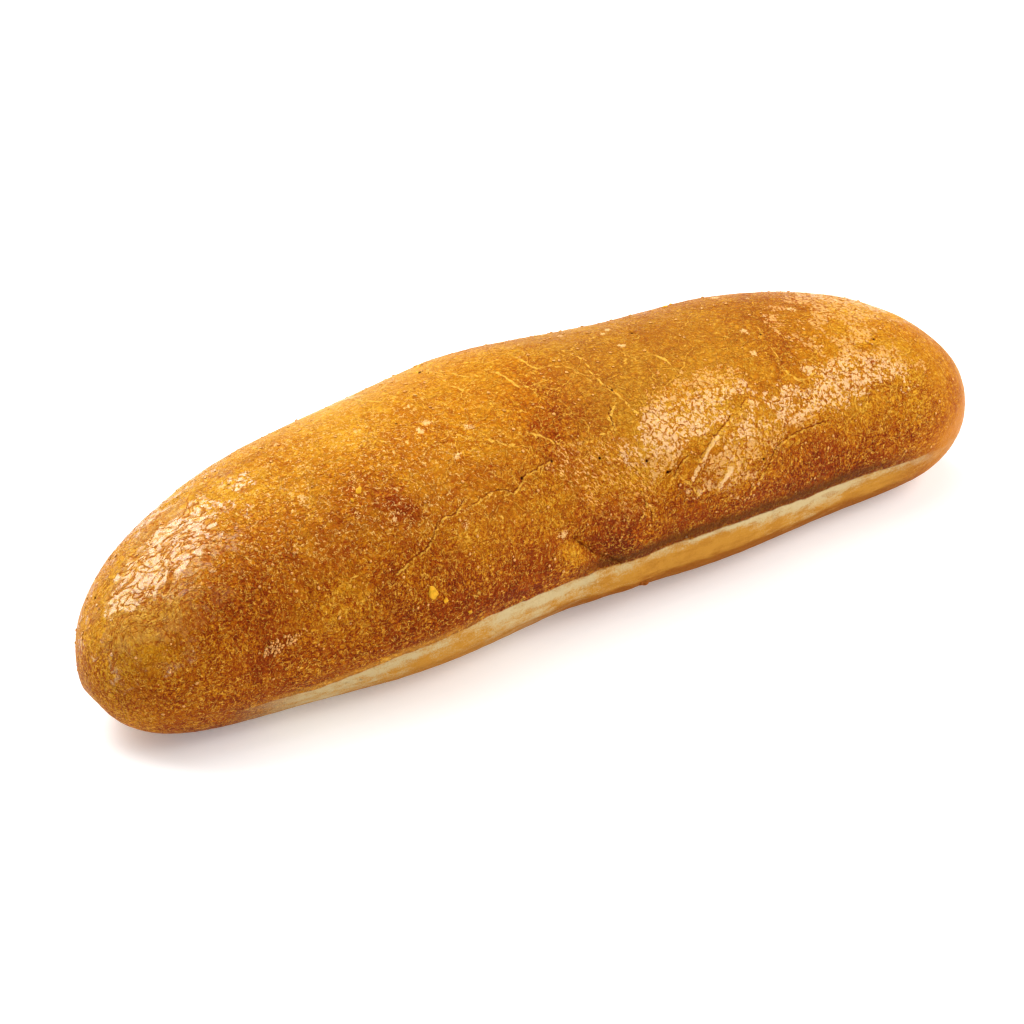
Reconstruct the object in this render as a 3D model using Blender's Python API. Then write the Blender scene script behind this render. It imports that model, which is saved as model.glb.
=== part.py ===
"""Mini baguette: one baked loaf with a smooth crust, and a pale band low on its flanks.

The loaf is a UV sphere whose points are moved onto the dough's form: the poles become the
two tips, each ring of the sphere a cross-section, and each meridian a row along the loaf.
X runs along the loaf, Y across it (its front flank faces -Y) and Z up from the table.
The origin is on the table, under the middle of the loaf's box. Units are metres.
"""

import math

import bmesh
import bpy
from mathutils import Vector

MM = 0.001

# ---- the loaf's driving sizes ----
LENGTH = 210 * MM
HALF_WIDTH = 30.6 * MM
HEIGHT = 48.0 * MM
BELLY = 17.0 * MM  # height at which the flanks are widest
SETTLED = 0.4 * MM  # how far the dough has spread flat under its own weight
CROWN_POWER = 2.15  # superellipse power of the crown's section: 2 is an ellipse

# ---- how it changes from the left tip (-X) to the right tip, at even stations ----
WIDTH_SHARES = (1.055, 1.00, 1.02, 1.01, 0.97, 0.95, 1.01)
HEIGHT_SHARES = (1.05, 1.01, 1.015, 1.01, 0.965, 0.95, 1.01)
BOWS = (-7.6, -2.3, -1.3, 1.5, -0.7, -1.3, -9.2)  # the centre line's way across, in mm
FLAT_SHARES = (0.46, 0.38, 0.43, 0.40, 0.47, 0.46, 0.40)  # flat part of the half width

# ---- how each end closes: a low power is a long taper, a high power a blunt end ----
LEFT_END = {"width": 2.9, "crown": 2.8, "heel": 8.2}
RIGHT_END = {"width": 5.0, "crown": 3.3, "heel": 9.3}

# ---- the crust line, where brown crust meets the pale band ----
LINE_HEIGHT = 15.4 * MM
LEFT_FALL = 5.0 * MM  # how much lower the line is near the left tip
RIGHT_FALL = 2.2 * MM
LIP_OUT = 0.45 * MM  # the crust's edge stands this far proud
BAND_IN = 0.45 * MM  # the pale band is this far back
LINE_FADE = (72 * MM, 98 * MM)  # distances from the middle between which the edge dies out

# ---- the foot on one half of each flank, where the crust is drawn in over the base ----
FOOT_OUT = 0.7 * MM
FOOT_HEIGHT = 9.0 * MM
GROOVE_IN = 0.9 * MM
GROOVE_ABOVE = 2.2 * MM  # over the crust line

# ---- the pinched fold on the front flank ----
FOLD_TOP = (-8 * MM, 27 * MM)  # x and z of the crease's upper end
FOLD_SLANT = 1.1  # how far the crease runs to the right for each step down
CREASE_IN = 1.1 * MM
CREASE_WIDTH = 2.6 * MM
SWELLING_OUT = 0.9 * MM
SWELLING_WIDTH = 4.5 * MM

# ---- the drip of dough on the front base edge ----
DRIP_PLACE = (10.6 * MM, 8.0 * MM)  # x and z
DRIP_OUT = 1.2 * MM
DRIP_WIDTH = 1.9 * MM

# ---- the mesh ----
RINGS = 88  # cross-sections, both tips included
CROWN_STEPS = 36
FLANK_CROWDING = 0.4  # above 0 the crown's rows stand closer near the flanks
CORNER_STEPS = 10  # from the belly down to the flat underside, on each flank
BASE_STEPS = 8
AROUND = CROWN_STEPS + 2 * CORNER_STEPS + BASE_STEPS
TIP_CROWDING = 1.8  # above 1 the rings stand closer near the tips
MIDDLE_CROWDING = 0.17  # above 0 they stand closer near the middle too

FRONT = -1
BACK = 1


def bell(distance, width):
    """1 at distance 0, and close to 0 beyond twice the width."""
    return math.exp(-((distance / width) ** 2))


def ramp(value, start, end):
    """0 at start, 1 at end, and a smooth step between them."""
    t = min(max((value - start) / (end - start), 0.0), 1.0)
    return t * t * (3 - 2 * t)


def along(values, share):
    """The values at even stations, joined by a smooth curve and read at share, -1 to 1."""
    place = (share + 1) / 2 * (len(values) - 1)
    i = min(int(place), len(values) - 2)
    t = place - i
    p1, p2 = values[i], values[i + 1]
    p0 = values[i - 1] if i > 0 else 2 * p1 - p2
    p3 = values[i + 2] if i + 2 < len(values) else 2 * p2 - p1
    bend = (p2 - p0) * t + (2 * p0 - 5 * p1 + 4 * p2 - p3) * t**2
    return p1 + 0.5 * (bend + (3 * p1 - p0 - 3 * p2 + p3) * t**3)


def closing(share, power):
    """1 along the loaf and 0 at a tip."""
    return math.sqrt(max(0.0, 1 - abs(share) ** power))


def line_height(x, side):
    """Height of the crust line: it drops towards the tips and rises in one place."""
    fall = LEFT_FALL if x < 0 else RIGHT_FALL
    height = LINE_HEIGHT - fall * ramp(abs(x), 42 * MM, 98 * MM)
    if side == FRONT:
        return height + 3.2 * MM * bell(x + 18 * MM, 15 * MM)
    return height + 1.6 * MM * bell(x - 30 * MM, 22 * MM)


def smooth_point(share, side, turn):
    """A point of the loaf without its relief. turn is in degrees: 90 on the crown's ridge,
    0 at the belly and -90 at the edge of the flat underside."""
    end = LEFT_END if share < 0 else RIGHT_END
    half = HALF_WIDTH * along(WIDTH_SHARES, share) * closing(share, end["width"])
    across, upright = math.cos(math.radians(turn)), abs(math.sin(math.radians(turn)))
    if turn >= 0:
        out = half * across ** (2 / CROWN_POWER)
        rise = HEIGHT * along(HEIGHT_SHARES, share) - BELLY
        z = BELLY + rise * closing(share, end["crown"]) * upright ** (2 / CROWN_POWER)
    else:
        flat = along(FLAT_SHARES, share)
        out = half * (flat + (1 - flat) * across)
        z = max(0.0, BELLY - (BELLY + SETTLED) * closing(share, end["heel"]) * upright)
    return Vector((share * LENGTH / 2, along(BOWS, share) * MM + side * out, z))


def crust_edge(point, side):
    """The proud edge of the brown crust, and the pale band set back below it."""
    above = point.z - line_height(point.x, side)
    edge = LIP_OUT * bell(above - 1.8 * MM, 2.4 * MM) - BAND_IN * bell(above + 2.6 * MM, 2.8 * MM)
    return edge * (1 - ramp(abs(point.x), *LINE_FADE))


def foot(point, side):
    """The lobe along the base, from a blunt step near the middle out to one tip, and the
    groove that draws the crust in above it."""
    x = point.x if side == FRONT else 12 * MM - point.x
    above = point.z - line_height(point.x, side)
    lobe = ramp(x, -2.5 * MM, 2.5 * MM) * (1 - ramp(x, 30 * MM, 75 * MM))
    groove = ramp(x, -10 * MM, 12 * MM) * (1 - ramp(x, 45 * MM, 75 * MM))
    out = FOOT_OUT * lobe * bell(point.z - FOOT_HEIGHT, 5 * MM)
    return out - GROOVE_IN * groove * bell(above - GROOVE_ABOVE, 2.4 * MM)


def fold(point, side):
    """The pinched fold on the front flank: a crease that slants down to the crust line,
    and the swelling that leans over it from the right."""
    if side == BACK:
        return 0.0
    top_x, top_z = FOLD_TOP
    beyond = point.x - top_x - (top_z - point.z) * FOLD_SLANT
    reach = ramp(point.z, 13 * MM, 17 * MM) * (1 - ramp(point.z, top_z - 3 * MM, top_z + 3 * MM))
    swelling = SWELLING_OUT * bell(beyond - CREASE_WIDTH - SWELLING_WIDTH, SWELLING_WIDTH)
    return reach * (swelling - CREASE_IN * bell(beyond, CREASE_WIDTH))


def drip(point, side):
    """The small drip of dough on the front base edge."""
    if side == BACK:
        return 0.0
    x, z = DRIP_PLACE
    return DRIP_OUT * bell(point.x - x, DRIP_WIDTH) * bell(point.z - z, DRIP_WIDTH)


def waves(point):
    """The low, uneven waves that rolling the dough by hand leaves on the crown."""
    x, y, z = point / MM
    swell = 0.22 * math.sin(x / 9.1 + y / 14 + 0.8) + 0.18 * math.sin(x / 15.7 - y / 11 + z / 8.3)
    return (swell + 0.1 * math.sin(x / 4.7 + y / 6.3)) * MM * ramp(point.z, 20 * MM, 30 * MM)


def loaf_point(share, side, turn):
    """A point of the finished loaf: the relief stands square to the smooth section."""
    point = smooth_point(share, side, turn)
    below = smooth_point(share, side, max(turn - 1, -90))
    above = smooth_point(share, side, min(turn + 1, 90))
    outward = Vector((0, (above - below).z, -(above - below).y)) * side
    if outward.length == 0:
        return point
    relief = crust_edge(point, side) + foot(point, side) + fold(point, side) + drip(point, side)
    relief = relief * ramp(point.z, 0.5 * MM, 4 * MM) + waves(point)
    return point + outward.normalized() * relief * closing(share, 6)


def row_place(row):
    """Side and turn of a row along the loaf. The rows run from the back edge of the flat
    underside up over the crown and down to the front edge, and then across underneath,
    where the turn is None and the first value is the share of the way to the back."""
    if row < CORNER_STEPS:
        return BACK, -90 * (1 - row / CORNER_STEPS)
    row -= CORNER_STEPS
    if row <= CROWN_STEPS:
        t = row / CROWN_STEPS
        angle = 180 * (t - FLANK_CROWDING * math.sin(2 * math.pi * t) / (2 * math.pi))
        return (BACK, angle) if angle <= 90 else (FRONT, 180 - angle)
    row -= CROWN_STEPS
    if row <= CORNER_STEPS:
        return FRONT, -90 * row / CORNER_STEPS
    return (row - CORNER_STEPS) / BASE_STEPS, None


def ring_share(ring):
    """Where a ring stands along the loaf, from -1 at the left tip to 1 at the right."""
    even = 2 * ring / RINGS - 1
    u = abs(even)
    share = 1 - (1 - u) ** TIP_CROWDING - MIDDLE_CROWDING * math.sin(2 * math.pi * u) * (1 - u)
    return math.copysign(share, even)


def place_on_loaf(sphere):
    """Moves the points of a unit sphere, whose poles are on Z, onto the loaf."""
    for vert in sphere.verts:
        ring = round(math.acos(max(-1.0, min(1.0, vert.co.z))) / math.pi * RINGS)
        row = round(math.atan2(vert.co.y, vert.co.x) / (2 * math.pi) * AROUND) % AROUND
        share = ring_share(ring)
        side, turn = row_place(row)
        if turn is None:
            front_edge, back_edge = loaf_point(share, FRONT, -90), loaf_point(share, BACK, -90)
            vert.co = front_edge.lerp(back_edge, side)
        else:
            vert.co = loaf_point(share, side, turn)


def centre_on_table(bm):
    """Brings the middle of the loaf's box over the origin. Its underside is at 0 already."""
    ys = [vert.co.y for vert in bm.verts]
    bmesh.ops.translate(bm, verts=bm.verts, vec=(0, -(min(ys) + max(ys)) / 2, 0))


def crust_material():
    material = bpy.data.materials.new("crust")
    material.use_nodes = True
    shader = material.node_tree.nodes["Principled BSDF"]
    shader.inputs["Base Color"].default_value = (0.56, 0.22, 0.03, 1)
    shader.inputs["Roughness"].default_value = 0.4
    shader.inputs["Metallic"].default_value = 0.0
    return material


def make_loaf(collection):
    bm = bmesh.new()
    bmesh.ops.create_uvsphere(bm, u_segments=AROUND, v_segments=RINGS, radius=1)
    place_on_loaf(bm)
    centre_on_table(bm)
    bmesh.ops.recalc_face_normals(bm, faces=bm.faces)
    mesh = bpy.data.meshes.new("loaf")
    bm.to_mesh(mesh)
    bm.free()
    mesh.shade_smooth()
    mesh.materials.append(crust_material())
    collection.objects.link(bpy.data.objects.new("loaf", mesh))


def main():
    for old in list(bpy.data.objects):
        bpy.data.objects.remove(old)
    collection = bpy.data.collections.new("mini_baguette")
    bpy.context.scene.collection.children.link(collection)
    make_loaf(collection)


main()
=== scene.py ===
import math
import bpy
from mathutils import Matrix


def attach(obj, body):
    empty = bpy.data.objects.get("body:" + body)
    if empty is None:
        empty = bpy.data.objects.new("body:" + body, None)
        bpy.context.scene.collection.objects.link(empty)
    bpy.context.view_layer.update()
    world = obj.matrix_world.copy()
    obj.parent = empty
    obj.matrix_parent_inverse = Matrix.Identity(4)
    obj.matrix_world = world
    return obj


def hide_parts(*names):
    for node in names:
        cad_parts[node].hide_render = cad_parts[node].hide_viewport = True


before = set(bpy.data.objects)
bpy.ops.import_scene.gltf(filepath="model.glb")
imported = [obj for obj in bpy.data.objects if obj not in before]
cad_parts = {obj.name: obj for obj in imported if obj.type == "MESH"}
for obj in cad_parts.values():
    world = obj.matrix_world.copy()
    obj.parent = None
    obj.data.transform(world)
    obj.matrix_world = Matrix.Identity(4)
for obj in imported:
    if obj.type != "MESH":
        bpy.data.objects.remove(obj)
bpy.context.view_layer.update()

from types import SimpleNamespace

import bmesh
import bpy
import numpy as np
from mathutils import Matrix, Vector
from mathutils.bvhtree import BVHTree
from mathutils.kdtree import KDTree

mm = 0.001
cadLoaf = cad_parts["loaf"]


class Field:  # wraps a socket of a shader or of Geometry Nodes, so that sums on it add their Math nodes
    def __init__(self, tree, socket):
        self.tree = tree
        self.socket = socket

    def math(self, operation, *values):
        node = self.tree.nodes.new("ShaderNodeMath")
        node.operation = operation
        for slot, value in zip(node.inputs, values):
            plug(self.tree, slot, value)
        return Field(self.tree, node.outputs[0])

    def __add__(self, other):
        return self.math("ADD", self, other)

    def __radd__(self, other):
        return self.math("ADD", other, self)

    def __sub__(self, other):
        return self.math("SUBTRACT", self, other)

    def __rsub__(self, other):
        return self.math("SUBTRACT", other, self)

    def __mul__(self, other):
        return self.math("MULTIPLY", self, other)

    def __rmul__(self, other):
        return self.math("MULTIPLY", other, self)

    def __truediv__(self, other):
        return self.math("DIVIDE", self, other)

    def __rtruediv__(self, other):
        return self.math("DIVIDE", other, self)

    def __pow__(self, other):
        return self.math("POWER", self, other)

    def __rpow__(self, other):
        return self.math("POWER", other, self)

    def __abs__(self):
        return self.math("ABSOLUTE", self)

    def __neg__(self):
        return self.math("MULTIPLY", self, -1.0)

    def min(self, other):
        return self.math("MINIMUM", self, other)

    def max(self, other):
        return self.math("MAXIMUM", self, other)

    def clamp(self):
        return self.max(0.0).min(1.0)

    def ramp(self, start, end, low=0.0, high=1.0):  # a smooth step from low to high
        values = dict(enumerate((self, start, end, low, high)))
        return Graph(self.tree).node("ShaderNodeMapRange", {"interpolation_type": "SMOOTHSTEP"}, values)

    def bell(self, middle, width):  # 1 at middle, near 0 beyond twice the width
        part = (self - middle) / width
        return self.math("EXPONENT", -(part * part))


def plug(tree, slot, value):
    if isinstance(value, Field):
        tree.links.new(value.socket, slot)
    else:
        slot.default_value = value


class Graph:  # builds one node tree
    def __init__(self, tree):
        self.tree = tree

    def node(self, kind, settings=None, values=None, out=0):
        node = self.tree.nodes.new(kind)
        for name, value in (settings or {}).items():
            if name == "stops":
                self.setStops(node.color_ramp, value)
            else:
                setattr(node, name, value)
        for name, value in (values or {}).items():
            plug(self.tree, node.inputs[name], value)
        return Field(self.tree, node.outputs[out])

    def setStops(self, ramp, stops):
        while len(ramp.elements) < len(stops):
            ramp.elements.new(1.0)
        for element, (place, colour) in zip(ramp.elements, stops):
            element.position = place
            element.color = colour

    def attribute(self, name):  # a mask of the mesh, in a shader
        return self.node("ShaderNodeAttribute", {"attribute_name": name}, out="Fac")

    def stored(self, name):  # the same in Geometry Nodes
        return self.node("GeometryNodeInputNamedAttribute", {"data_type": "FLOAT"}, {"Name": name})

    def noise(self, vector, scale, detail=2.0, roughness=0.5, distortion=0.0, out=0):
        values = {"Vector": vector, "Scale": scale, "Detail": detail, "Roughness": roughness}
        values["Distortion"] = distortion
        return self.node("ShaderNodeTexNoise", {}, values, out=out)

    def cellEdges(self, vector, scale):  # distance to the nearest edge between cells
        values = {"Vector": vector, "Scale": scale}
        return self.node("ShaderNodeTexVoronoi", {"feature": "DISTANCE_TO_EDGE"}, values)

    def mix(self, factor, first, second):
        values = {0: factor, 6: first, 7: second}  # its colour sockets
        return self.node("ShaderNodeMix", {"data_type": "RGBA"}, values, out=2)

    def vector(self, operation, first, second=None, scale=None):
        values = {0: first, 1: second, 3: scale}
        given = {slot: value for slot, value in values.items() if value is not None}
        return self.node("ShaderNodeVectorMath", {"operation": operation}, given)


def srgb(red, green, blue):  # screen colour, 0 to 255, to the linear one that shaders take
    def linear(value):
        value /= 255
        return value / 12.92 if value <= 0.04045 else ((value + 0.055) / 1.055) ** 2.4
    return (linear(red), linear(green), linear(blue), 1.0)


# The camera, over the left end of the near flank
viewpoint = {
    "azimuth": -32.94,  # degrees from -Y, towards +X
    "elevation": 33.0,
    "distance": 900 * mm,
    "aim": (-3.4 * mm, -3.7 * mm, 17.4 * mm),
    "framePixels": 1024,
    "focalPixels": 4370,
}


def cameraAxes():
    azimuth, elevation = math.radians(viewpoint["azimuth"]), math.radians(viewpoint["elevation"])
    away = Vector((math.sin(azimuth) * math.cos(elevation),
                   -math.cos(azimuth) * math.cos(elevation), math.sin(elevation)))
    right = Vector((math.cos(azimuth), math.sin(azimuth), 0))
    return right, away.cross(right), away


def addCamera():
    right, up, away = cameraAxes()
    data = bpy.data.cameras.new("view")
    data.sensor_width = 36
    data.lens = viewpoint["focalPixels"] / viewpoint["framePixels"] * data.sensor_width
    camera = bpy.data.objects.new("view", data)
    turn = Matrix((right, up, away)).transposed().to_4x4()
    eye = Vector(viewpoint["aim"]) + away * viewpoint["distance"]
    camera.matrix_world = Matrix.Translation(eye) @ turn
    bpy.context.scene.collection.objects.link(camera)
    bpy.context.scene.camera = camera
    print("camera placed")


# A pale floor and soft lamps
studio = {
    "floorSize": 4.0,
    "floorLevel": -0.2 * mm,
    "floorColour": (0.86, 0.86, 0.86, 1),
    "floorGlow": 0.22,
    "worldStrength": 0.24,
    "lamps": {  # direction from the loaf, distance in m, size in m, power in W
        "backPanel": ((-0.25, 0.62, 0.74), 1.1, (1.1, 0.9), 15),
        "rightPanel": ((0.60, -0.50, 0.62), 1.0, (0.75, 0.62), 7.2),
        "topPanel": ((0.0, 0.1, 1.0), 1.3, (1.2, 0.8), 4),
    },
}


def addStudio():
    mesh = bpy.data.meshes.new("floor")
    half, level = studio["floorSize"] / 2, studio["floorLevel"]
    corners = [(-half, -half, level), (half, -half, level), (half, half, level), (-half, half, level)]
    mesh.from_pydata(corners, [], [(0, 1, 2, 3)])
    floor = bpy.data.objects.new("floor", mesh)
    bpy.context.scene.collection.objects.link(floor)
    material = bpy.data.materials.new("floorPaint")
    material.use_nodes = True
    shader = material.node_tree.nodes["Principled BSDF"]
    shader.inputs["Base Color"].default_value = studio["floorColour"]
    shader.inputs["Roughness"].default_value = 0.7
    shader.inputs["Specular IOR Level"].default_value = 0.2
    shader.inputs["Emission Color"].default_value = (1, 1, 1, 1)
    shader.inputs["Emission Strength"].default_value = studio["floorGlow"]
    mesh.materials.append(material)
    world = bpy.data.worlds.new("studio")
    world.use_nodes = True
    world.node_tree.nodes["Background"].inputs["Color"].default_value = (1, 1, 1, 1)
    world.node_tree.nodes["Background"].inputs["Strength"].default_value = studio["worldStrength"]
    bpy.context.scene.world = world
    for name, (direction, distance, (width, height), power) in studio["lamps"].items():
        light = bpy.data.lights.new(name, "AREA")
        light.shape = "RECTANGLE"
        light.size, light.size_y = width, height
        light.energy = power
        lamp = bpy.data.objects.new(name, light)
        towards = Vector(direction).normalized()
        lamp.location = towards * distance
        lamp.rotation_euler = towards.to_track_quat("Z", "Y").to_euler()
        bpy.context.scene.collection.objects.link(lamp)
    bpy.context.scene.view_settings.view_transform = "Standard"
    bpy.context.scene.view_settings.look = "Medium High Contrast"
    print("floor and lamps placed")


# Where things are on the loaf, as the solid has them
loafSize = {
    "halfLength": 105 * mm,
    "lineHeight": 15.4 * mm,  # of the crust line, over the table
    "leftFall": 5.0 * mm,  # how much lower it is at each tip
    "rightFall": 2.2 * mm,
    "fallReach": (42 * mm, 98 * mm),  # from the middle, where it falls
    "frontRise": (3.2 * mm, -18 * mm, 15 * mm),  # how much, where, and how wide
    "backRise": (1.6 * mm, 30 * mm, 22 * mm),
}


def smoothStep(value, start, end):
    t = np.clip((value - start) / (end - start), 0, 1)
    return t * t * (3 - 2 * t)


def lineHeight(x, front):  # height of the crust line
    size = loafSize
    fall = np.where(x < 0, size["leftFall"], size["rightFall"])
    height = size["lineHeight"] - fall * smoothStep(np.abs(x), *size["fallReach"])
    for rise, mask in ((size["frontRise"], front), (size["backRise"], ~front)):
        amount, place, width = rise
        height = height + np.where(mask, amount * np.exp(-(((x - place) / width) ** 2)), 0)
    return height


def throughView(bvh, spot):  # the point of the surface that the camera sees at a pixel
    right, up, away = cameraAxes()
    middle = viewpoint["framePixels"] / 2
    eye = Vector(viewpoint["aim"]) + away * viewpoint["distance"]
    sight = right * (spot[0] - middle) + up * (middle - spot[1]) - away * viewpoint["focalPixels"]
    point, normal, index, distance = bvh.ray_cast(eye, sight.normalized())
    return point


# Cracks and seams in the crust, as the camera sees them, in pixels of its frame
cracks = {
    "main": [(396, 573), (414, 557), (426, 549), (434, 535), (438, 522), (444, 517), (454, 514),
             (460, 506), (464, 499)],
    "mainRight": [(472, 504), (479, 500), (490, 492), (499, 490), (507, 490), (513, 493), (520, 484),
                  (522, 478), (528, 473), (543, 464), (551, 460)],
    "gap": [(603, 383), (609, 389), (614, 393)],
    "gapLow": [(610, 406), (609, 416), (615, 428)],
    "gash": [(688, 455), (681, 462), (676, 471), (674, 477)],
    "dash": [(666, 473), (671, 471)],
    "rightLow": [(764, 473), (770, 461), (776, 449), (783, 441), (798, 431), (811, 426), (826, 421)],
    "small": [(740, 408), (746, 399)],
    # a crack line that is also painted shade under the furrow's ridge
    "furrowDark": [(700, 458), (705, 449), (711, 440), (718, 432), (725, 424), (730, 416)],
    "forkUp": [(641, 491), (644, 498), (646, 506)],
    "forkDown": [(651, 511), (652, 519)],
    "forkSide": [(643, 512), (639, 519)],
}
seams = {
    "low": [(357, 575), (340, 588), (330, 605), (320, 624)],
    "upper": [(556, 443), (570, 444), (586, 441), (600, 435), (613, 433), (616, 430), (609, 418),
              (613, 409), (621, 398)],
    "upperLeft": [(592, 375), (605, 385), (621, 398), (636, 413)],
    "plate": [(636, 413), (646, 413), (654, 405), (662, 397), (671, 389), (672, 381), (675, 370),
              (666, 360), (652, 354), (641, 353), (633, 358), (630, 364)],
    "gashBranch": [(677, 474), (685, 481), (692, 486), (699, 496)],
    "gashLow": [(673, 478), (668, 486), (661, 496)],
    "rightPlate": [(756, 326), (765, 337), (774, 351), (782, 369), (796, 380), (803, 381),
                   (814, 374), (819, 364), (816, 348)],
    "rightLowEnd": [(747, 498), (756, 486), (764, 473)],
    "topLeft": [(440, 370), (470, 378), (498, 372), (520, 388), (548, 380)],
    "topRight": [(676, 330), (700, 338), (716, 332), (742, 345)],
    "topMiddle": [(560, 350), (585, 360), (592, 375)],
    "centre": [(470, 452), (488, 440), (512, 446), (530, 432), (556, 443)],
}
crackSize = {"step": 1.7, "jitter": 0.65, "lip": (1.1, 1.4), "seed": 4}  # in pixels of the frame; lip is the shift of the raised crack edge that gets a painted highlight

# Wrinkles that stand up from the crust, and the fold that dips into it
ridges = {
    "furrow": [(698, 462), (705, 453), (712, 443), (722, 433), (734, 419), (748, 405)],
    "furrowLow": [(716, 492), (724, 474), (733, 460)],
    "furrowEye": [(736, 414), (742, 408), (745, 411), (741, 416), (736, 418)],
    "nub": [(562, 530), (564, 535)],
}
stripes = {  # of smooth glaze beside the furrows, painted pale as a highlight
    "upper": [(717, 437), (711, 445), (706, 454), (703, 462)],
    "middle": [(700, 466), (696, 472), (693, 480)],
    "lower": [(733, 468), (729, 474), (724, 480), (719, 487)],
    "lowerSide": [(730, 467), (725, 475)],
}
folds = {
    "fold": [(573, 538), (581, 543), (587, 548), (591, 551), (598, 554), (607, 556), (613, 559),
             (619, 562)],
}

# Glossy plates of crust, where the coat goes and a highlight is painted into the colour: how far in the
# gloss counts (little makes it patchy), and the outline, in pixels of the frame
glossPlates = {
    "leftTip": (99, [(100, 640), (98, 600), (112, 560), (135, 520), (165, 497), (200, 490), (222, 500),
                     (222, 540), (208, 585), (190, 625), (160, 650), (125, 660)]),
    "leftEnd": (-3, [(84, 650), (86, 610), (104, 560), (128, 518), (160, 484), (205, 462), (240, 470),
                     (245, 520), (230, 580), (210, 630), (170, 670), (120, 685)]),
    "upper": (99, [(638, 428), (650, 418), (655, 402), (668, 392), (672, 378), (690, 378), (700, 372),
                   (712, 370), (728, 378), (740, 392), (735, 403), (717, 419), (700, 437), (684, 454),
                   (674, 464), (660, 476), (640, 470), (628, 450)]),
    "lower": (99, [(700, 486), (712, 470), (722, 452), (742, 425), (760, 408), (780, 395), (800, 388),
                   (822, 380), (838, 362), (850, 352), (880, 345), (905, 350), (914, 364), (905, 378),
                   (880, 388), (858, 396), (840, 408), (826, 419), (808, 425), (790, 432), (780, 440),
                   (772, 452), (764, 466), (750, 482), (735, 492), (716, 494)]),
}

runs = [(552, 446), (575, 438), (600, 436), (622, 432), (640, 444), (652, 478), (668, 492), (655, 520),
        (622, 530), (600, 520), (585, 512), (560, 486), (545, 468)]  # outline of the painted highlight strokes

toasted = {  # browner or lighter patches: place and radius in pixels, and how much browner
    "leftFlank": ((235, 590), 60, 0.40),
    "leftLow": ((300, 640), 60, -0.14),
    "blotch": ((390, 496), 15, 0.30),
    "blotchLow": ((407, 509), 15, 0.36),
    "middleLow": ((470, 580), 60, 0.06),
    # browner here as painted shade over the crust line
    "lineDark": ((545, 562), 22, 0.12),
    "foldSide": ((620, 530), 45, 0.10),
    "rightLow": ((840, 455), 45, 0.12),
    # lighter here as a painted sheen
    "rightLowTop": ((858, 412), 24, -0.25),
    "rightUnder": ((740, 505), 45, 0.06),
    "leftCrown": ((300, 450), 80, 0.02),
    "leftCrownEdge": ((400, 400), 55, 0.12),
    "leftShoulder": ((262, 500), 32, 0.10),
    "topEdge": ((490, 365), 35, 0.08),
    "midCrown": ((550, 395), 45, 0.22),
    "centre": ((548, 452), 48, 0.34),
    "centreLow": ((408, 548), 42, 0.28),
    "centreLeft": ((455, 500), 40, 0.20),
    "leftTip": ((118, 640), 60, -0.03),
    "leftTipSide": ((215, 610), 35, 0.03),
    "leftTipLow": ((100, 668), 45, -0.05),
    "leftBelly": ((402, 462), 30, 0.16),
    "bellyTop": ((368, 484), 24, 0.18),
    "rightFlank": ((790, 496), 32, 0.10),
    "rightTip": ((930, 390), 45, -0.03),
    "rightGloss": ((885, 362), 38, 0.12),
    "rightTop": ((850, 320), 60, -0.04),
    "crown": ((640, 345), 85, 0.28),
    "rightCrown": ((790, 320), 65, 0.38),
    "middle": ((335, 530), 50, 0.34),
    "beads": ((272, 648), 20, 0.14),
    "fan": ((576, 554), 14, -0.45),
    "creaseSide": ((622, 545), 18, 0.14),
    "mid": ((470, 480), 40, 0.08),
}
pits = [(396, 423), (552, 461), (522, 478), (600, 458), (647, 461), (764, 459), (874, 339), (95, 598),
        (761, 334), (346, 683), (361, 680), (612, 390), (668, 472)]
paleSpots = [(563, 535), (470, 426), (427, 422), (421, 430), (458, 456), (408, 406), (394, 518),
             (465, 525), (751, 402), (755, 353), (835, 300), (221, 487), (268, 495), (302, 498), (275, 444)]
bubbles = [(270, 651), (276, 647), (291, 640)]


def viewPixels(points):  # where the camera sees each point, in pixels of its frame
    right, up, away = (np.array(axis) for axis in cameraAxes())
    eye = np.array(viewpoint["aim"]) + away * viewpoint["distance"]
    depth = (eye - points) @ away
    middle = viewpoint["framePixels"] / 2
    x = middle + (points - eye) @ right / depth * viewpoint["focalPixels"]
    y = middle - (points - eye) @ up / depth * viewpoint["focalPixels"]
    return x, y


def insideOutline(x, y, outline):  # distance in from an outline in pixels, negative outside it
    inside = np.zeros(len(x), bool)
    nearest = np.full(len(x), 1e9)
    for (x0, y0), (x1, y1) in zip(outline, outline[1:] + outline[:1]):
        if y0 != y1:
            crosses = (y0 > y) != (y1 > y)
            inside ^= crosses & (x < (x1 - x0) * (y - y0) / (y1 - y0) + x0)
        length = math.dist((x0, y0), (x1, y1))
        share = np.clip(((x - x0) * (x1 - x0) + (y - y0) * (y1 - y0)) / length ** 2, 0, 1)
        nearest = np.minimum(nearest, np.hypot(x - x0 - share * (x1 - x0), y - y0 - share * (y1 - y0)))
    return np.where(inside, nearest, -nearest)


halfRound = np.array((-1, -1, 1))  # turns a point half round, to the same place on the far flank


def bothSides(points, normals, mask):  # a mask on the near flank, and turned half round on the far
    away = np.array(cameraAxes()[2])
    outside = -99
    near = np.where(normals @ away > 0.02, mask(*viewPixels(points)), outside)
    far = np.where((normals * halfRound) @ away > 0.02, mask(*viewPixels(points * halfRound)), outside)
    return np.maximum(near, far)


def blendedSides(points, normals, mask):  # as bothSides, for a soft mask that may be negative
    share = smoothStep(normals @ np.array(cameraAxes()[2]), 0.0, 0.3)
    return mask(*viewPixels(points)) * share + mask(*viewPixels(points * halfRound)) * (1 - share)


def behind(bvh, point):  # the same place on the far flank
    return bvh.find_nearest(Vector((-point.x, -point.y, point.z)))[0]


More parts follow.
